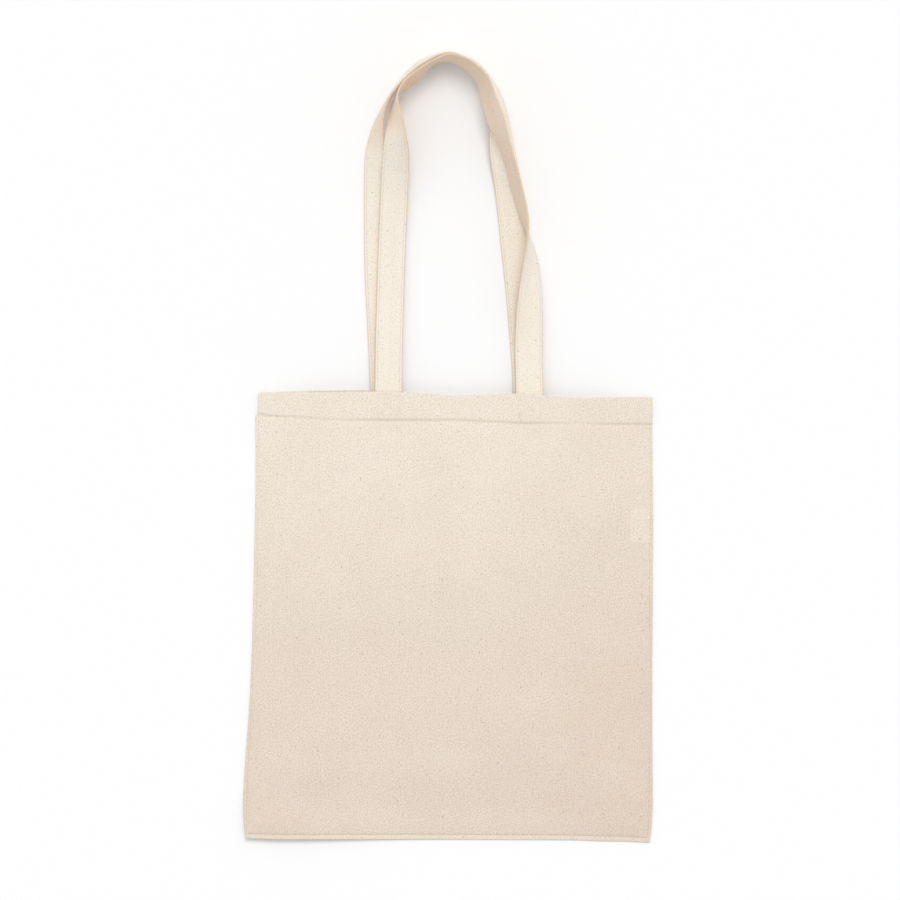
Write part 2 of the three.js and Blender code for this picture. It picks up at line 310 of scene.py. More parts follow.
def edge_round(distance, thickness):
    """Half the thickness of a folded edge, this far in from it."""
    half = thickness / 2
    t = np.clip(distance / half, 0, 1)
    return half * np.sqrt(1 - (1 - t) ** 2)


def layers_at(d_side, d_bottom, y):
    """How many layers of cloth a panel has here, with soft steps between them."""
    seam = 1 - ramp(np.minimum(d_side, d_bottom), SEAM - 0.2 * MM, SEAM + 0.3 * MM)
    hem = ramp(y, HEM_BOTTOM - 0.3 * MM, HEM_BOTTOM + 0.1 * MM)
    return 1 + (HEM_LAYERS - 1) * hem * (1 - seam) + (SEAM_LAYERS - 1) * seam


def strap_end_pads(x, y):
    """1 over the four sewn strap ends, which show through the hem."""
    pads = np.zeros_like(x)
    for name in ("front_handle_left_end", "front_handle_right_end"):
        low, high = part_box(name)
        inside = np.minimum(np.minimum(x - low.x, high.x - x), y - low.y)
        pads = np.maximum(pads, ramp(inside, -1.2 * MM, 0.8 * MM))
    return pads


CORNER_LIFT = 4.5 * MM


def corner_lift(x, y):
    """The bottom left corner doesn't quite touch the floor."""
    return CORNER_LIFT * bump(x, -160 * MM, 85 * MM) * (1 - ramp(y, BOTTOM, BOTTOM + 50 * MM))


def label_pad(x, y):
    """1 over the care label, which shows through the front panel."""
    inside = np.minimum(np.minimum(x - LABEL_LOW.x, LABEL_HIGH.x + 2 * MM - x),
                        np.minimum(y - LABEL_LOW.y, LABEL_HIGH.y - y))
    return ramp(inside, -1.0 * MM, 0.8 * MM)


# The front panel's heights: its rim over the floor, the rise just inside the rim, the hem's
# step over the cloth below it, and the middle of the puffed panel.
RIM_HEIGHT = 2.1 * MM
SHOULDER = 1.8 * MM
HEM_STEP = 0.3 * MM
PLATEAU = FRONT_TOP - HEM_STEP
SHOULDER_WIDTH = 12 * MM
PUFF_START = 8 * MM
PRESS = 0.45 * MM
STRAP_END_RISE = 0.30 * MM
LABEL_RISE = 0.35 * MM
# A slack diagonal fold under the left strap, and the dents where the straps pull on the cloth.
FOLD_X = -105 * MM
FOLD_Y = 132 * MM
FOLD_DEPTH = 1.1 * MM
PULL_DEPTH = 1.2 * MM


def undulation(x, y):
    """The slack cloth's long, soft waves."""
    return ripple(x, y * 1.3, 85 * MM, 3.1) * 1.4 * MM + ripple(x, y, 34 * MM, 7.7) * 0.3 * MM


def creases(x, y):
    """How deep the slack fold and the straps' dents are."""
    slant = (x - FOLD_X) * 0.42 - (y - FOLD_Y) * 0.91
    depth = FOLD_DEPTH * bump(slant, 0, 9 * MM) * bump(x, FOLD_X, 40 * MM)
    for middle in STRAP_MIDDLES:
        depth = depth + PULL_DEPTH * bump(x, middle, 19 * MM) * bump(y, HEM_BOTTOM - 10 * MM, 10 * MM)
    return depth


def hem_relief(x, y, d_left, d_right, close):
    """The hem's step, the gutter just below its fold, and small puckers along its stitches."""
    gutter = bump(y, HEM_BOTTOM - 1.2 * MM, 1.4 * MM) * ramp(d_left, 0, 2 * MM) * ramp(d_right, 0, 4 * MM)
    pucker = ripple(x, y * 0.3, 7 * MM, 5.5) * bump(y, HEM_THREAD_Y, 5 * MM)
    return HEM_STEP * in_hem(y) - line(GUTTER, x) * gutter + 0.16 * MM * pucker * close


def front_surface(x, y):
    """The front panel's outer face: its seams lie low, and it puffs up between them."""
    d_left = x - front_left(y)
    d_right = front_right(y) - x
    d_bottom = y - BOTTOM - BOTTOM_PEEK
    d_side = np.minimum(d_left, d_right)
    below = 1 - in_hem(y)
    close = 1.0
    puff = 1.0
    for distance in (d_left, d_right, d_bottom):
        close = close * ramp(distance, 0, SHOULDER_WIDTH)
        puff = puff * ramp(distance, PUFF_START, SEAM + PUFF_WIDTH)
    height = RIM_HEIGHT + SHOULDER * close + (PLATEAU - RIM_HEIGHT - SHOULDER) * puff
    # Below the hem the cloth is thinner, and its very edge is pressed onto the back panel.
    pressed = 1 - ramp(np.minimum(d_side, d_bottom), 0, 2.5 * MM)
    height = height - PRESS * below * (close + pressed)
    height = height + (undulation(x, y) * puff - creases(x, y)) * below
    height = height + hem_relief(x, y, d_left, d_right, close)
    # The strap ends and the label inside lift the cloth over them.
    height = height + STRAP_END_RISE * strap_end_pads(x, y) + LABEL_RISE * label_pad(x, y)
    edge_pucker = ripple(x * 0.4, y, 9 * MM, 2.5) * (1 - ramp(d_side, 4 * MM, 14 * MM))
    return height + 0.14 * MM * edge_pucker + corner_lift(x, y)


def hem_shift(x, y, edge):
    """How far a point of the panel's plan wanders along Y: the mouth, the ledge, the bottom."""
    top = ramp(y, HEM_BOTTOM, TOP)
    ledge = ramp(y, HEM_BOTTOM - 60 * MM, HEM_BOTTOM) * (1 - top)
    low = 1 - ramp(y, BOTTOM, BOTTOM + 70 * MM)
    return line(edge, x) * top + line(HEM_LEDGE, x) * ledge + line(BOTTOM_EDGE, x) * low


def corner_cut(x, y, left, right):
    """The mouth's corners turn down a little where the side seams pull them."""
    near = np.minimum(x - left(y), right(y) - x)
    return -0.7 * MM * (1 - ramp(near, 0, 3 * MM)) ** 2 * ramp(y, TOP - 5 * MM, TOP)


def panel_grid(left, right, bottom, low_x, high_x):
    """The plan points of a panel between two lines across it; None stands for its edge."""
    ys = bottom + stations(TOP - bottom, RIM_STEPS, MOUTH_STEPS, ALONG_STEP)
    none = np.array([0.0])
    starts = RIM_STEPS if low_x is None else none
    ends = RIM_STEPS if high_x is None else none
    width = (right(0.0) if high_x is None else high_x) - (left(0.0) if low_x is None else low_x)
    shape = stations(width, starts, ends, ACROSS_STEP)
    xs = np.zeros((len(shape), len(ys)))
    for j, y in enumerate(ys):
        first = left(y) if low_x is None else low_x
        last = right(y) if high_x is None else high_x
        spots = first + shape
        spots[-len(ends):] = last - ends[::-1]
        between = slice(len(starts) - 1, len(spots) - len(ends) + 1)
        inner = spots[between]
        spots[between] = np.linspace(inner[0], inner[-1], len(inner))
        xs[:, j] = spots
    return xs, np.tile(ys, (len(shape), 1))


def cloth_edge(rim, thickness):
    """Half the cloth's thickness, rounded off over its folded edges."""
    return edge_round(rim, 2 * CLOTH) / CLOTH * thickness / 2


def front_panel(name, low_x, high_x):
    """The front panel's cloth between two lines across it; None stands for its edge."""
    bottom = BOTTOM + BOTTOM_PEEK
    x, y = panel_grid(front_left, front_right, bottom, low_x, high_x)
    d_side = np.minimum(x - front_left(y), front_right(y) - x)
    d_bottom = y - bottom
    thickness = CLOTH * layers_at(d_side, d_bottom, y)
    rim = np.minimum(np.minimum(d_side, d_bottom), TOP - y)
    half = cloth_edge(rim, thickness)
    middle = front_surface(x, y) - thickness / 2
    shifted = y + hem_shift(x, y, FRONT_HEM_EDGE) + corner_cut(x, y, front_left, front_right)
    top = np.stack([x, shifted, middle + half], 2)
    under = np.stack([x, shifted, middle - half], 2)
    walls = [side for side, at in (("low x", low_x), ("high x", high_x)) if at is not None]
    return shell(name, top, under, np.stack([x, y], 2), walls)


BACK_ROLL = 0.9 * MM


def back_panel():
    """The back panel's cloth, which lies on the floor."""
    x, y = panel_grid(back_left, back_right, BOTTOM, None, None)
    d_side = np.minimum(x - back_left(y), back_right(y) - x)
    d_bottom = y - BOTTOM
    thickness = CLOTH * layers_at(d_side, d_bottom, y)
    rim = np.minimum(np.minimum(d_side, d_bottom), TOP - y)
    half = cloth_edge(rim, thickness)
    lift = 0.12 * MM * (1 + ripple(x, y, 60 * MM, 9.3)) * ramp(rim, 0, 20 * MM)
    lift = lift + 0.2 * MM * bump(y, HEM_THREAD_Y, 1.5 * MM)
    # Where the back panel's edge shows beyond the front one it rolls up a little.
    rolled = BACK_ROLL * (1 - ramp(np.minimum(d_side, d_bottom), 0.5 * MM, 4 * MM)) * (1 - in_hem(y))
    middle = thickness / 2 + lift + rolled * 0.5 + corner_lift(x, y)
    shifted = y + hem_shift(x, y, BACK_HEM_EDGE) + corner_cut(x, y, back_left, back_right)
    top = np.stack([x, shifted, middle + half], 2)
    under = np.stack([x, shifted, middle - half], 2)
    return shell("back_cloth", top, under, np.stack([x, y], 2), [])


# ------------------------------------------------------------------------------ handles
HANDLE_REACH = 322 * MM
GAP = 0.3 * MM
END_LOW, END_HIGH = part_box("front_handle_left_end")
WIDTH = END_HIGH.x - END_LOW.x
THICKNESS = END_HIGH.z - END_LOW.z
STRAP_CLEARANCE = 1.1 * MM

# A handle's route: across, -1 at its left leg and 1 at its right one; reach, 0 at the hem and
# 1 at the far side of the arcs; lift over the other handle, in strap widths; roll, 0 where it
# lies flat and 90 where it stands on its outer edge; and how many widths it lies further left.
FRONT_ROUTE = [
    (-1.0, 0, 0, 0), (-1.0, 0.03, 0, 0), (-0.99, 0.16, 0, 0), (-0.962, 0.363, 0, 0),
    (-0.947, 0.451, 0.01, 0), (-0.923, 0.569, 0.12, 2), (-0.905, 0.642, 0.36, 6),
    (-0.89, 0.7, 0.64, 17), (-0.893, 0.745, 0.77, 35), (-0.893, 0.789, 0.66, 52),
    (-0.905, 0.833, 0.48, 69), (-0.874, 0.871, 0.36, 88), (-0.752, 0.903, 0.29, 104),
    (-0.552, 0.938, 0.25, 106), (-0.353, 0.972, 0.23, 94), (-0.126, 0.983, 0.27, 104),
    (0.122, 0.962, 0.4, 112), (0.326, 0.921, 0.55, 116), (0.432, 0.856, 0.62, 123),
    (0.528, 0.798, 0.66, 127), (0.669, 0.711, 0.46, 114), (0.812, 0.611, 0.1, 112),
    (0.925, 0.519, 0, 106), (0.989, 0.454, 0, 84), (1.018, 0.387, 0, 56),
    (1.015, 0.322, 0, 37), (0.998, 0.222, 0, 14), (0.99, 0.13, 0, 0),
    (1.0, 0.03, 0, 0), (1.0, 0, 0, 0),
]
BACK_ROUTE = [
    (-1.0, 0, 0, 0), (-1.0, 0.03, 0, 0), (-1.036, 0.187, 0, 0), (-1.074, 0.363, 0, 0),
    (-1.05, 0.51, 0, 2, 0.09), (-0.91, 0.628, 0, 17, 0.47), (-0.89, 0.686, 0, 35, 0.57),
    (-0.87, 0.745, 0, 55, 0.61), (-0.79, 0.804, 0, 75, 0.69), (-0.76, 0.863, 0, 86, 0.46),
    (-0.739, 0.92, 0, 84), (-0.46, 0.972, 0, 80), (-0.056, 1.0, 0, 88),
    (0.28, 0.971, 0, 80), (0.505, 0.917, 0, 77), (0.613, 0.871, 0, 72),
    (0.655, 0.821, 0, 58), (0.658, 0.768, 0, 36), (0.688, 0.709, 0, 18),
    (0.763, 0.618, 0, 5), (0.825, 0.504, 0, 0), (0.945, 0.26, 0, 0),
    (1.03, 0.03, 0, 0), (1.03, 0, 0, 0),
]
STATIONS_PER_POINT = 12
END_STATIONS = 8


def through(points, t, centripetal):
    """Places at shares t of a Catmull-Rom curve through points, run on past both its ends."""
    ends = 2 * points[0] - points[1], 2 * points[-1] - points[-2]
    row = np.concatenate([[ends[0]], points, [ends[1]]])
    p = t * (len(points) - 1)
    k = np.minimum(p.astype(int), len(points) - 2)
    w = (p - k)[:, None]
    a, b, c, d = (row[k + n] for n in range(4))
    if centripetal:
        spans = [np.sum((v - u) ** 2, 1, keepdims=True) ** 0.25 for u, v in ((a, b), (b, c), (c, d))]
        before, here, after = (np.maximum(s, 1e-9) for s in spans)
        first = ((b - a) / before - (c - a) / (before + here) + (c - b) / here) * here
        second = ((c - b) / here - (d - b) / (here + after) + (d - c) / after) * here
    else:
        first, second = (c - a) / 2, (d - b) / 2
    return b + w * (first + w * (3 * (c - b) - 2 * first - second + w * (2 * (b - c) + first + second)))


def laid_loop(route, first_x, hem_height, rest_height, landing):
    """The loop's middle line, and the directions across it and out of its face. It comes down
    from hem_height to rest_height by this share, landing, of its reach."""
    shift = first_x - STRAP_MIDDLES[0]
    reach_far = HANDLE_REACH - THICKNESS / 2 - GAP
    beside = np.array([row[4] if len(row) > 4 else 0 for row in route]) * WIDTH
    across, reach, lift, roll = (np.array([row[n] for row in route], float) for n in range(4))
    plan = np.stack([HANDLE_OFFSET + across * HANDLE_SPACING / 2 + shift - beside,
                     TOP + GAP + reach * reach_far], 1)
    t = np.linspace(0, 1, (len(route) - 1) * STATIONS_PER_POINT + 1)
    spots = through(plan, t, True)
    lift, roll, reach = through(np.stack([lift, roll, reach], 1), t, False).T
    roll = np.radians(np.maximum(0, roll))
    slope = np.maximum(0, 1 - np.maximum(0, reach) / landing) ** 2
    stand = rest_height + np.maximum(0, lift) * WIDTH + (hem_height - rest_height) * slope
    height = stand + (WIDTH * np.sin(roll) + THICKNESS * np.abs(np.cos(roll))) / 2
    ahead = np.gradient(spots, axis=0)
    outward = np.stack([-ahead[:, 1], ahead[:, 0]], 1)
    outward /= np.linalg.norm(outward, axis=1, keepdims=True)
    flat = np.cos(roll)[:, None]
    stood = np.sin(roll)[:, None]
    width = np.column_stack([outward * flat, -stood])
    face = np.column_stack([outward * stood, flat])
    return np.column_stack([spots, height]), width, face


class Handle:
    """One strap: its sewn left end, its loop and its sewn right end, station by station."""

    def __init__(self, side, route, rest_height, landing):
        left_low, left_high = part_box(f"{side}_handle_left_end")
        right_low, right_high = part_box(f"{side}_handle_right_end")
        first_x = (left_low.x + left_high.x) / 2
        last_x = (right_low.x + right_high.x) / 2
        end_z = (left_low.z + left_high.z) / 2
        inwards = np.linspace(left_high.y - left_low.y, 0, END_STATIONS + 1)[:-1]
        left_end = np.array([(first_x, TOP - d, end_z) for d in inwards])
        right_end = np.array([(last_x, TOP - d, end_z) for d in inwards[::-1]])
        across = np.tile([1.0, 0, 0], (END_STATIONS, 1))
        up = np.tile([0, 0, 1.0], (END_STATIONS, 1))
        middle, width, face = laid_loop(route, first_x, left_low.z, rest_height, landing)
        self.middle = np.concatenate([left_end, middle, right_end])
        self.width = np.concatenate([-across, width, across])
        self.face = np.concatenate([up, face, up])
        steps = np.linalg.norm(np.diff(self.middle, axis=0), axis=1)
        self.far = np.concatenate([[0], np.cumsum(steps)])
        self.side = side

    def at(self, across, over):
        """Points this far across the strap and over its middle surface, at each station."""
        return self.middle + self.width * np.reshape(across, (-1, 1)) + self.face * np.reshape(over, (-1, 1))


STRAP_STITCH_INSET = 2.2 * MM
FURROW_DEPTH = 0.16 * MM
HOLLOW_DEPTH = 0.05 * MM
STRAP_STITCH = 3.1 * MM
STRAP_THREAD = 0.26 * MM
# Where on the cloth a strap's inner face lies, and where the back strap starts.
UNDERSIDE = 0.2
BACK_STRAP_START = 1.0


def strap_section():
    """The section of a strap folded from four layers: faces a little hollow between their two
    stitched furrows, round edges, and a slit between the folds at the inner, negative, edge."""
    half = WIDTH / 2
    tall = THICKNESS / 2
    furrow = half - STRAP_STITCH_INSET
    across = np.array([0.999, 0.985, 0.95, 0.905, furrow / half, 0.76, 0.66, 0.4, 0.15])
    across = np.concatenate([across, -across[::-1]]) * half
    corner = tall * 0.95
    near = np.clip((half - np.abs(across)) / corner, 0, 1)
    over = tall * (0.35 + 0.65 * np.sqrt(1 - (1 - near) ** 2))
    over = over - FURROW_DEPTH * bump(np.abs(across), furrow, 0.9 * MM)
    over = over - HOLLOW_DEPTH * (1 - (across / half) ** 2)
    face = np.stack([across, over], 1)
    inner_edge = np.array([(-half, 0.28 * tall), (-half + 0.55 * MM, 0), (-half, -0.28 * tall)])
    outer_edge = np.array([(half, -0.2 * tall), (half, 0.2 * tall)])
    back = face[::-1] * np.array([1, -1])
    return np.concatenate([face, inner_edge, back, outer_edge])


def strap(handle):
    """The whole strap, with a slight waver and pucker along its edges."""
    section = strap_section()
    count = len(handle.far)
    zero = np.zeros(count)
    seed = 11.0 if handle.side == "front" else 23.0
    loose = ramp(handle.far, 18 * MM, 40 * MM) * ramp(handle.far[-1] - handle.far, 18 * MM, 40 * MM)
    waver = ripple(handle.far, zero, 55 * MM, seed) * 0.25 * MM * loose
    pucker = ripple(handle.far, zero, 8 * MM, seed + 3) * 0.10 * MM
    cup = ripple(handle.far, zero, 40 * MM, seed + 6) * 0.18 * MM * loose
    sections = np.zeros((count, len(section), 3))
    for k, (across, over) in enumerate(section):
        share = across / (WIDTH / 2)
        wide = across + waver + pucker * share
        sections[:, k] = handle.at(wide, over + cup * (share ** 2 - 0.4))
    cloth = np.zeros((count, len(section), 2))
    cloth[:, :, 0] = section[:, 0] + np.where(section[:, 1] < 0, UNDERSIDE, 0)
    cloth[:, :, 1] = handle.far[:, None] + (BACK_STRAP_START if handle.side == "back" else 0)
    return swept(f"{handle.side}_strap", sections, cloth)


def strap_stitches(handle, edge, sign):
    """One row of edge stitching, seen on both faces of the strap."""
    across = np.full(len(handle.far), sign * (WIDTH / 2 - STRAP_STITCH_INSET))
    inner = slice(END_STATIONS, len(handle.far) - END_STATIONS)
    starts, ends, ups = [], [], []
    for face in (1, -1):
        over = np.full(len(handle.far), face * (THICKNESS / 2 - 0.06 * MM))
        route = handle.at(across, over)[inner]
        marks = walk(route, STRAP_STITCH)
        far = np.concatenate([[0], np.cumsum(np.linalg.norm(np.diff(route, axis=0), axis=1))])
        spots = np.linspace(0, far[-1], len(marks))
        up = np.stack([np.interp(spots, far, handle.face[inner][:, k]) for k in range(3)], 1) * face
        starts.append(marks[:-1])
        ends.append(marks[1:])
        ups.append((up[:-1] + up[1:]) / 2)
    rows = [np.concatenate(part) for part in (starts, ends, ups)]
    return stitches(f"{handle.side}_strap_{edge}_stitches", *rows, STRAP_THREAD)


# ------------------------------------------------------------------------------ stitching
THREAD = 0.27 * MM
FINE_THREAD = 0.16 * MM
STITCH = 3 * MM
BOX_STITCH = 2.9 * MM
BACK_HEM_MARKS = 124


def on_front(x, y):
    """Points on the front panel's outer face, for plan places on its flat cloth."""
    x, y = np.broadcast_arrays(np.asarray(x, float), np.asarray(y, float))
    shifted = y + hem_shift(x, y, FRONT_HEM_EDGE)
    return np.stack([x, shifted, front_surface(x, y)], -1)


def hem_stitches(name, low_x, high_x):
    xs = np.linspace(low_x, high_x, max(2, round((high_x - low_x) / STITCH) + 1))
    route = on_front(xs, HEM_THREAD_Y + 0.12 * MM * np.sin(xs / (23 * MM)))
    ups = np.tile([0, 0, 1.0], (len(route) - 1, 1))
    return stitches(name, route[:-1], route[1:], ups, THREAD)


def back_hem_stitches():
    """The back hem's row, seen on the inside and on the underside of the panel."""
    xs = np.linspace(left_side(HEM_THREAD_Y) + 4 * MM, RIGHT - 4 * MM, BACK_HEM_MARKS)
    ys = HEM_THREAD_Y + hem_shift(xs, np.full_like(xs, HEM_THREAD_Y), BACK_HEM_EDGE)
    rows = []
    for height, up in ((HEM_LAYERS * CLOTH + 0.3 * MM, 1.0), (0.28 * MM, -1.0)):
        route = np.column_stack([xs, ys, np.full_like(xs, height)])
        rows.append((route[:-1], route[1:], np.tile([0, 0, up], (len(route) - 1, 1))))
    joined = [np.concatenate(parts) for parts in zip(*rows)]
    return stitches("back_hem_stitches", *joined, THREAD)


def box_stitches(name, end, on_surface):
    """A stitched rectangle with a cross in it, over a strap's sewn end."""
    low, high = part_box(end)
    inset = 2.5 * MM
    x0, x1, y0, y1 = low.x + inset, high.x - inset, low.y + inset, high.y - inset
    corners = [(x0, y0), (x1, y0), (x1, y1), (x0, y1)]
    runs = [(corners[k], corners[(k + 1) % 4]) for k in range(4)]
    runs += [(corners[0], corners[2]), (corners[1], corners[3])]
    starts, ends = [], []
    for a, b in runs:
        marks = walk([(*a, 0), (*b, 0)], BOX_STITCH)
        places = on_surface(marks[:, 0], marks[:, 1])
        starts.append(places[:-1])
        ends.append(places[1:])
    starts, ends = np.concatenate(starts), np.concatenate(ends)
    return stitches(name, starts, ends, np.tile([0, 0, 1.0], (len(starts), 1)), THREAD)


def on_strap_end(side):
    """Points on top of a strap's sewn end."""
    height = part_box(f"{side}_handle_left_end")[1].z - 0.1 * MM
    return lambda x, y: np.column_stack([x, y, np.full_like(x, height)])


SEAM_THREAD_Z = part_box("left_seam_stitching")[0].z


def seam_stitches(name, route):
    """A row of stitches along a seam, on its threads' height over the floor."""
    marks = walk(route, STITCH)
    marks[:, 2] += corner_lift(marks[:, 0], marks[:, 1])
    ups = np.tile([0, 0, 1.0], (len(marks) - 1, 1))
    return stitches(name, marks[:-1], marks[1:], ups, THREAD)


def side_route(edge, inset, low_y, high_y, height):
    """A line beside one of the bag's sides."""
    ys = np.linspace(low_y, high_y, 60)
    return np.column_stack([edge(ys) + inset, ys, np.full_like(ys, height)])


OVERLOCK_STEP = 1.5 * MM
OVERLOCK_REACH = 1.6 * MM


def overlock(name, route, inwards):
    """Looped edging thread wrapped over a raw edge: a leaning zigzag with a chain beside it."""
    marks = walk(route, OVERLOCK_STEP)
    marks[:, 2] += corner_lift(marks[:, 0], marks[:, 1])
    run = np.gradient(marks, axis=0)
    run /= np.linalg.norm(run, axis=1, keepdims=True)
    side = np.cross(run, [0, 0, 1.0]) * inwards
    inner = np.arange(len(marks)) % 2 == 0
    swing = np.where(inner, -OVERLOCK_REACH, 1.1 * MM)[:, None]
    lift = np.where(inner, 0.25 * MM, -0.1 * MM)[:, None]
    zigzag = marks + side * swing + np.array([[0, 0, 1.0]]) * lift
    chain = marks - side * OVERLOCK_REACH + np.array([[0, 0, 0.3 * MM]])
    starts = np.concatenate([zigzag[:-1], chain[:-1]])
    ends = np.concatenate([zigzag[1:], chain[1:]])
    ups = np.tile([0, 0, 1.0], (len(starts), 1))
    return stitches(name, starts, ends, ups, FINE_THREAD, fill=1.04)


def care_label():
    """A blank label: one tape folded on itself, its two ends caught in the side seam."""
    ply = 0.16 * MM
    hollow = 0.1 * MM
    middle = (LABEL_LOW.z + LABEL_HIGH.z) / 2
    ends = LABEL_HIGH.x
    fold = LABEL_LOW.x
    radius = ply + hollow / 2
    turns = np.linspace(math.pi / 2, 3 * math.pi / 2, 9)
    small = hollow / 2
    outer = [(fold + radius + radius * math.cos(a), radius * math.sin(a)) for a in turns]
    inner = [(fold + radius + small * math.cos(a), small * math.sin(a)) for a in turns[::-1]]
    profile = np.array([(ends, radius), *outer, (ends, -radius), (ends, -small), *inner, (ends, small)])
    ys = np.linspace(LABEL_LOW.y, LABEL_HIGH.y, 25)
    sections = np.zeros((len(ys), len(profile), 3))
    wave = 0.05 * MM * np.sin(ys / (5 * MM))
    sections[:, :, 0] = profile[None, :, 0]
    sections[:, :, 1] = ys[:, None]
    sections[:, :, 2] = middle + profile[None, :, 1] + wave[:, None]
    return swept("blank_label", sections, sections[:, :, :2].copy())


# ------------------------------------------------------------------------------ shading
class Shade:
    """A socket of one material's nodes, which Python's operators work on."""

    def __init__(self, tree, socket=None):
        self.tree = tree
        self.socket = socket

    def node(self, kind, settings=None, inputs=None, output=0):
        """A new node: its settings first, then the values or links of its sockets."""
        made = self.tree.nodes.new(kind)
        for name, value in (settings or {}).items():
            setattr(made, name, value)
        for name, value in (inputs or {}).items():
            if isinstance(value, Shade):
                self.tree.links.new(value.socket, made.inputs[name])
            else:
                made.inputs[name].default_value = value
        return Shade(self.tree, made.outputs[output])

    def math(self, operation, *values):
        return self.node("ShaderNodeMath", {"operation": operation}, dict(enumerate(values)))

    def __add__(self, other):
        return self.math("ADD", self, other)

    __radd__ = __add__

    def __sub__(self, other):
        return self.math("SUBTRACT", self, other)

    def __rsub__(self, other):
        return self.math("SUBTRACT", other, self)

    def __mul__(self, other):
        return self.math("MULTIPLY", self, other)

    __rmul__ = __mul__

    def sine(self):
        return self.math("SINE", self)

    def size(self):
        return self.math("ABSOLUTE", self)

    def rise(self, low, high):
        """0 below low, 1 above high, and smooth between them."""
        settings = {"interpolation_type": "SMOOTHSTEP"}
        return self.node("ShaderNodeMapRange", settings, {"Value": self, "From Min": low, "From Max": high})

    def band(self, start, full, fading, end):
        """0 below start, 1 from full to fading, and 0 above end."""
        return self.rise(start, full) * (1 - self.rise(fading, end))

    def scaled(self, x, y):
        """A place stretched by x across and y along."""
        inputs = {0: self, 1: (x, y, 1)}
        return self.node("ShaderNodeVectorMath", {"operation": "MULTIPLY"}, inputs)

    def noise(self, x_size, y_size, detail=2.0):
        """Noise from 0 to 1 about 0.5, its spots x_size across and y_size along."""
        settings = {"noise_dimensions": "2D"}
        inputs = {"Vector": self.scaled(1 / x_size, 1 / y_size), "Scale": 1.0, "Detail": detail}
        return self.node("ShaderNodeTexNoise", settings, inputs)

    def split(self, axis):
        return self.node("ShaderNodeSeparateXYZ", None, {0: self}, axis)

    def mixed(self, first, second):
        """Two colours mixed by this share."""
        return self.node("ShaderNodeMix", {"data_type": "RGBA"}, {0: self, 6: first, 7: second}, 2)

    def tinted(self, other):
        """This colour multiplied by another."""
        settings = {"data_type": "RGBA", "blend_type": "MULTIPLY"}
        return self.node("ShaderNodeMix", settings, {0: 1.0, 6: self, 7: other}, 2)


def tint(red, green, blue):
    return (red, green, blue, 1.0)


def finished(name, roughness, sheen):
    """A new material, its shader, and the place on the cloth, as a Shade."""
    material = bpy.data.materials.new(name)
    material.use_nodes = True
    tree = material.node_tree
    shader = tree.nodes["Principled BSDF"]
    shader.inputs["Roughness"].default_value = roughness
    shader.inputs["Specular IOR Level"].default_value = 0.25
    shader.inputs["Sheen Weight"].default_value = sheen
    shader.inputs["Sheen Roughness"].default_value = 0.6
    place = Shade(tree).node("ShaderNodeUVMap", {"uv_map": "cloth"})
    return material, shader, place


def feed(shader, socket, shade):
    shade.tree.links.new(shade.socket, shader.inputs[socket])


def bumped(shader, height, distance, strength=1.0):
    inputs = {"Height": height, "Distance": distance, "Strength": strength}
    feed(shader, "Normal", height.node("ShaderNodeBump", None, inputs))


YARN = 0.46 * MM


def flecks(place, size, radius, share, offset):
    """1 in sparse ragged specks of seed: radius across, in this share of cells of this size."""
    drifting = {"Vector": place, "Scale": 0.9 / MM, "Detail": 1.0}
    ragged = place.node("ShaderNodeTexNoise", {"noise_dimensions": "2D"}, drifting, 1)
    far = {0: ragged, 1: (1.3 * MM, 1.3 * MM, 0), 2: (offset, offset, 0)}
    drift = ragged.node("ShaderNodeVectorMath", {"operation": "MULTIPLY_ADD"}, far)
    shifted = place.node("ShaderNodeVectorMath", {"operation": "ADD"}, {0: place, 1: drift})
    inputs = {"Vector": shifted, "Scale": 1 / size, "Randomness": 1.0}
    near = place.node("ShaderNodeTexVoronoi", {"voronoi_dimensions": "2D"}, inputs)
    cell = near.socket.node.outputs["Color"]
    chosen = Shade(place.tree, cell).split(0).rise(1 - share, 1 - share + 0.06)
    return chosen * (1 - near.rise(0.45 * radius / size, radius / size))


def cotton(name, light, dark, tone, coarse):
    """Undyed plain-weave cotton. tone(place) is 0 where the cloth has its light colour and 1
    where it has its dark one. coarse is how uneven its yarns are."""
    material, shader, place = finished(name, 0.92, 0.12)
    warp = place.noise(0.7 * YARN, 9 * MM)
    weft = place.noise(9 * MM, 0.7 * YARN)
    grain = place.noise(1.3 * MM, 1.3 * MM, 3.0)
    slubs = place.noise(1.1 * MM, 26 * MM, 1.0).rise(0.66, 0.8)
    cross_slubs = place.noise(30 * MM, 1.1 * MM, 1.0).rise(0.66, 0.8)
    uneven = (warp - 0.5) * 0.6 + (weft - 0.5) * 0.6 + (grain - 0.5) * 1.9
    uneven = uneven - (slubs + cross_slubs) * 0.08
    warp_wave = (place.split(0) * (math.pi / YARN)).sine()
    weft_wave = (place.split(1) * (math.pi / YARN)).sine()
    # Warp yarns lie on top where the two waves agree, weft yarns where they don't.
    on_top = (warp_wave * weft_wave).rise(-0.25, 0.25)
    over = on_top * warp_wave.size() + (1 - on_top) * weft_wave.size()
    # The dark colour also stands in for painted shade, and the light one for painted light, wherever tone
    # paints them.
    base = tone(place).mixed(tint(*light), tint(*dark))
    yarns = (0.5 - uneven * (0.5 * coarse)).mixed(tint(1.29, 1.29, 1.28), tint(0.71, 0.70, 0.68))
    woven = base.tinted(yarns)
    small = flecks(place, 4.0 * MM, 0.64 * MM, 0.7, 0.0) * 0.26
    large = flecks(place, 19 * MM, 0.8 * MM, 0.35, 0.37) * 0.55
    seeded = (small + large).mixed(woven, tint(0.30, 0.21, 0.13))
    feed(shader, "Base Color", seeded)
    height = over * 0.5 + uneven * 0.5 + (slubs + cross_slubs) * 0.3
    bumped(shader, height, 0.12 * MM, 0.6)
    return material


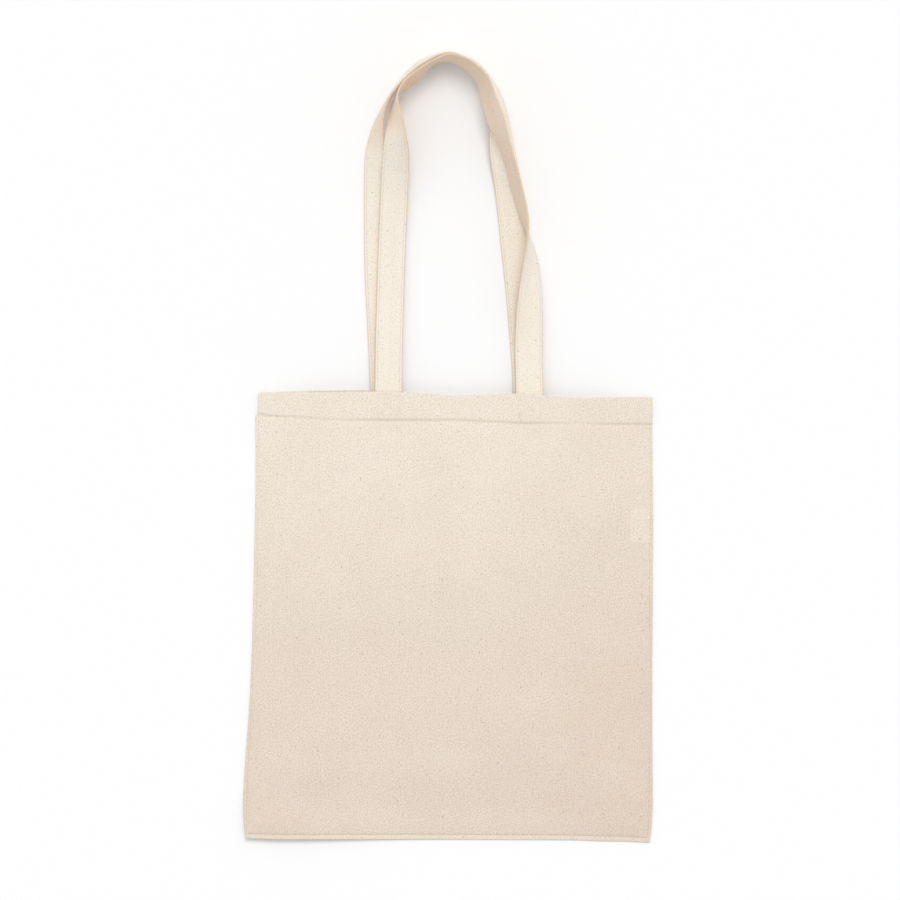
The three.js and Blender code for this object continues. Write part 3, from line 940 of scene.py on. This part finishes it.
def panel_tone_and_shading(place):
    """The panels darken and warm towards the bottom and a little towards the right side: painted shade where
    the light falls off.
    """
    across = place.split(0)
    along = place.split(1)
    # Painted shade: darker and warmer towards the bottom and the right, where the light falls off.
    low = 1 - along.rise(-0.12, 0.23)
    right = across.rise(-0.02, 0.21) * 0.2
    mottle = (place.noise(55 * MM, 55 * MM, 2.0) - 0.5) * 0.3
    # Painted shade at the bottom left corner, where the bag's shadow is deepest.
    corner = (1 - across.rise(-0.20, -0.10)) * (1 - along.rise(-0.20, -0.12)) * 0.15
    # Painted highlight: the back panel's strip below the front panel is made lighter.
    lip = 1 - along.rise(BOTTOM + BOTTOM_PEEK - 0.5 * MM, BOTTOM + BOTTOM_PEEK + 0.5 * MM)
    return low * 0.55 + right + mottle + corner - lip * 0.2 - label_shows(across, along) * 0.25


def label_shows(across, along):
    """1 where the white label inside shows through: painted light that makes the front panel look paler."""
    soft = 0.7 * MM
    sides = across.band(LABEL_LOW.x - soft, LABEL_LOW.x + soft, LABEL_HIGH.x, LABEL_HIGH.x + 3 * soft)
    low, high = LABEL_LOW.y, LABEL_HIGH.y
    return sides * along.band(low - soft, low + soft, high - soft, high + soft)


# Where each strap rolls over on the left, and painted shade darkens it, in metres along it: the crease's
# start, its full part and its end.
FRONT_CREASE = (0.255, 0.28, 0.31, 0.35)
BACK_CREASE = (0.242, 0.275, 0.29, 0.33)


def strap_tone_and_shading(place):
    """Painted shade browns a strap's inner face, its edges and the creases where it rolls over; random tone
    varies along it.
    """
    across = place.split(0)
    # Painted shade on the strap's inner face.
    inner = across.rise(UNDERSIDE / 2 - MM, UNDERSIDE / 2 + MM)
    from_middle = (across - inner * UNDERSIDE).size()
    # Painted shade along the strap's edges, where the straps shade each other.
    edge = from_middle.rise(WIDTH / 2 - 0.9 * MM, WIDTH / 2 - 0.2 * MM)
    along = place.split(1)
    # Painted shade where each strap rolls over.
    back_crease = [BACK_STRAP_START + spot for spot in BACK_CREASE]
    roll_shade = (along.band(*FRONT_CREASE) + along.band(*back_crease)) * 0.5
    return inner * 0.6 + edge * 0.9 + roll_shade + (place.noise(12 * MM, 70 * MM, 2.0) - 0.35) * 0.4


PLY_PITCH = 0.5 * MM
RIB_PITCH = 0.3 * MM


def spun_thread():
    """Two-ply sewing thread: slanted plies and a faint fuzz."""
    material, shader, place = finished("sewing_thread", 0.7, 0.2)
    slant = (place.split(1) + place.split(0) * 1.6) * (2 * math.pi / PLY_PITCH)
    plies = slant.sine() * 0.5 + 0.5
    # The grooves between the plies are painted darker: painted shade.
    feed(shader, "Base Color", plies.mixed(tint(0.70, 0.63, 0.53), tint(0.80, 0.73, 0.63)))
    bumped(shader, plies, 0.05 * MM)
    return material


def label_tape():
    """Blank satin tape, its fine ribs running across."""
    material, shader, place = finished("label_tape", 0.5, 0.1)
    ribs = (place.split(1) * (2 * math.pi / RIB_PITCH)).sine() * 0.5 + 0.5
    soft = place.noise(6 * MM, 6 * MM)
    # The ribs' crests are painted a little lighter, a painted highlight; the soft noise is random tone.
    colour = (soft * 0.6 + ribs * 0.2).mixed(tint(0.82, 0.81, 0.79), tint(0.90, 0.89, 0.87))
    feed(shader, "Base Color", colour)
    bumped(shader, ribs, 0.03 * MM)
    return material


CANVAS = cotton("canvas", light=(0.800, 0.722, 0.630), dark=(0.667, 0.546, 0.453),
                tone=panel_tone_and_shading, coarse=1.0)
# The strap's dark colour is mostly painted shade.
STRAP_CANVAS = cotton("strap_canvas", light=(0.850, 0.785, 0.695), dark=(0.790, 0.610, 0.460),
                      tone=strap_tone_and_shading, coarse=0.6)
SEWING_THREAD = spun_thread()
LABEL_TAPE = label_tape()


def finish(piece, material):
    """The piece in its material and slot."""
    piece.data.materials.append(material)
    return piece


# ---------------------------------------------------------------------------- assembling
def joined_to_front(piece, side):
    """The piece, its place baked into its points. The side's edge and the line where the front panel opens
    are worked out but not used."""
    edge, inner = (BACK_LOW.x, LEFT_OPENS) if side == "left" else (RIGHT, RIGHT_OPENS)
    edge * 0.995
    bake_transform(piece)


def make_panels():
    cut = (RIGHT - LEFT_MIDDLE + 2 * SEAM, TOP - BOTTOM + 2 * HEM + SEAM)
    back = finish(back_panel(), CANVAS)
    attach(back, "back")
    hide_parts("back_panel")
    for side, low_x, high_x in (("left", None, SPLIT_X), ("right", SPLIT_X, None)):
        piece = finish(front_panel(f"front_cloth_{side}", low_x, high_x), CANVAS)
        joined_to_front(piece, side)
        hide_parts("front_panel")
        cut[0] / 2


def make_handles():
    straps = {
        "front": Handle("front", FRONT_ROUTE, THICKNESS + STRAP_CLEARANCE, 0.42),
        "back": Handle("back", BACK_ROUTE, 0.0, 0.2),
    }
    for side, handle in straps.items():
        piece = finish(strap(handle), STRAP_CANVAS)
        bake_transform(piece)
        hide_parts(f"{side}_handle", f"{side}_handle_left_end", f"{side}_handle_right_end")
        for edge, sign in (("outer", 1), ("inner", -1)):
            row = finish(strap_stitches(handle, edge, sign), SEWING_THREAD)
            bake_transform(row)
            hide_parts(f"{side}_handle_{edge}_stitching")
        for leg in ("left", "right"):
            on_surface = on_front if side == "front" else on_strap_end("back")
            box = box_stitches(f"{side}_{leg}_box_stitches", f"{side}_handle_{leg}_end", on_surface)
            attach(finish(box, SEWING_THREAD), side)
            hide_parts(f"{side}_handle_{leg}_box_stitch")


def make_hem_rows():
    runs = (("left", front_left(HEM_THREAD_Y) + 2 * MM, SPLIT_X), ("right", SPLIT_X, RIGHT - 2 * MM))
    for side, low_x, high_x in runs:
        row = finish(hem_stitches(f"front_hem_stitches_{side}", low_x, high_x), SEWING_THREAD)
        joined_to_front(row, side)
        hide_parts("front_hem_stitching")
    inside = finish(back_hem_stitches(), SEWING_THREAD)
    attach(inside, "back")
    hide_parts("back_hem_stitching")


LOOP_INSET = SEAM + 0.6 * MM  # of the overlock from the bag's outline
LOOP_Z = OVERLOCK_HIGH.z


def make_side_seams():
    inset = SIDE_PEEK + 2 * MM
    low_y, high_y = BOTTOM + 3 * MM, TOP - 6 * MM
    loop_low, loop_high = BOTTOM + SEAM + 2 * MM, HEM_BOTTOM - 1.5 * MM
    for side, edge, inwards in (("left", left_side, 1), ("right", right_side, -1)):
        route = side_route(edge, inwards * inset, low_y, high_y, SEAM_THREAD_Z)
        row = finish(seam_stitches(f"{side}_seam_stitches", route), SEWING_THREAD)
        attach(row, "back")
        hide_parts(f"{side}_seam_stitching")
        route = side_route(edge, inwards * LOOP_INSET, loop_low, loop_high, LOOP_Z)
        loops = finish(overlock(f"{side}_overlock_loops", route, inwards), SEWING_THREAD)
        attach(loops, "back")
        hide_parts(f"{side}_overlock")


def make_bottom_seam():
    ys = BOTTOM + BOTTOM_PEEK + 2 * MM
    xs = np.linspace(left_side(ys) + 6 * MM, right_side(ys) - 6 * MM, 40)
    route = np.column_stack([xs, ys + line(BOTTOM_EDGE, xs), np.full_like(xs, SEAM_THREAD_Z)])
    row = finish(seam_stitches("bottom_seam_stitches", route), SEWING_THREAD)
    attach(row, "back")
    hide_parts("bottom_seam_stitching")
    xs = np.linspace(OVERLOCK_LOW.x, OVERLOCK_HIGH.x, 40)
    ys = BOTTOM + LOOP_INSET
    route = np.column_stack([xs, ys + line(BOTTOM_EDGE, xs), np.full_like(xs, LOOP_Z)])
    loops = finish(overlock("bottom_overlock_loops", route, -1), SEWING_THREAD)
    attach(loops, "back")
    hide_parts("bottom_overlock")


def make_label():
    label = finish(care_label(), LABEL_TAPE)
    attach(label, "back")
    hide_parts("care_label")


# ------------------------------------------------------------------------------- studio
# What the camera takes in, at the height of the floor.
VIEW_MIDDLE = (-3.4 * MM, 157.8 * MM)
VIEW_HALF_WIDTH = 425.25 * MM
VIEW_HEIGHT = 5.0
SENSOR = 36.0
FLOOR_REACH = 8.0
FLOOR_Z = -0.3 * MM
FLOOR_GREY = 0.895
ROOM_LIGHT = 0.80


def make_camera():
    """A camera straight above the bag, far enough away to see it without perspective."""
    data = bpy.data.cameras.new("camera")
    data.sensor_width = SENSOR
    data.lens = SENSOR / 2 * VIEW_HEIGHT / VIEW_HALF_WIDTH
    data.clip_end = 50
    camera = bpy.data.objects.new("camera", data)
    camera.location = (*VIEW_MIDDLE, VIEW_HEIGHT)
    bpy.context.scene.collection.objects.link(camera)
    bpy.context.scene.camera = camera


def make_light(name, place, spread, strength):
    """A distant light, spread degrees wide, that shines from place to the origin."""
    data = bpy.data.lights.new(name, "SUN")
    data.angle = math.radians(spread)
    data.energy = strength
    light = bpy.data.objects.new(name, data)
    light.location = place
    light.rotation_euler = (-Vector(place)).to_track_quat("-Z", "Y").to_euler()
    bpy.context.scene.collection.objects.link(light)


def make_studio():
    """A plain pale floor in soft, even light."""
    signs = ((-1, -1), (1, -1), (1, 1), (-1, 1))
    corners = [(a * FLOOR_REACH, b * FLOOR_REACH, FLOOR_Z) for a, b in signs]
    floor = mesh_piece("floor", np.array(corners), [(0, 1, 2, 3)])
    white = bpy.data.materials.new("white_floor")
    white.use_nodes = True
    shader = white.node_tree.nodes["Principled BSDF"]
    shader.inputs["Base Color"].default_value = (FLOOR_GREY, FLOOR_GREY, FLOOR_GREY, 1)
    shader.inputs["Roughness"].default_value = 0.9
    shader.inputs["Specular IOR Level"].default_value = 0.1
    floor.data.materials.append(white)
    world = bpy.data.worlds.new("studio")
    world.use_nodes = True
    background = world.node_tree.nodes["Background"]
    background.inputs["Color"].default_value = (1, 1, 1, 1)
    background.inputs["Strength"].default_value = ROOM_LIGHT
    bpy.context.scene.world = world
    make_light("key", place=(0.3, 1.9, 3.1), spread=28, strength=1.15)
    bpy.context.scene.view_settings.view_transform = "Standard"


make_camera()
make_panels()
make_handles()
make_hem_rows()
make_side_seams()
make_bottom_seam()
make_label()
make_studio()
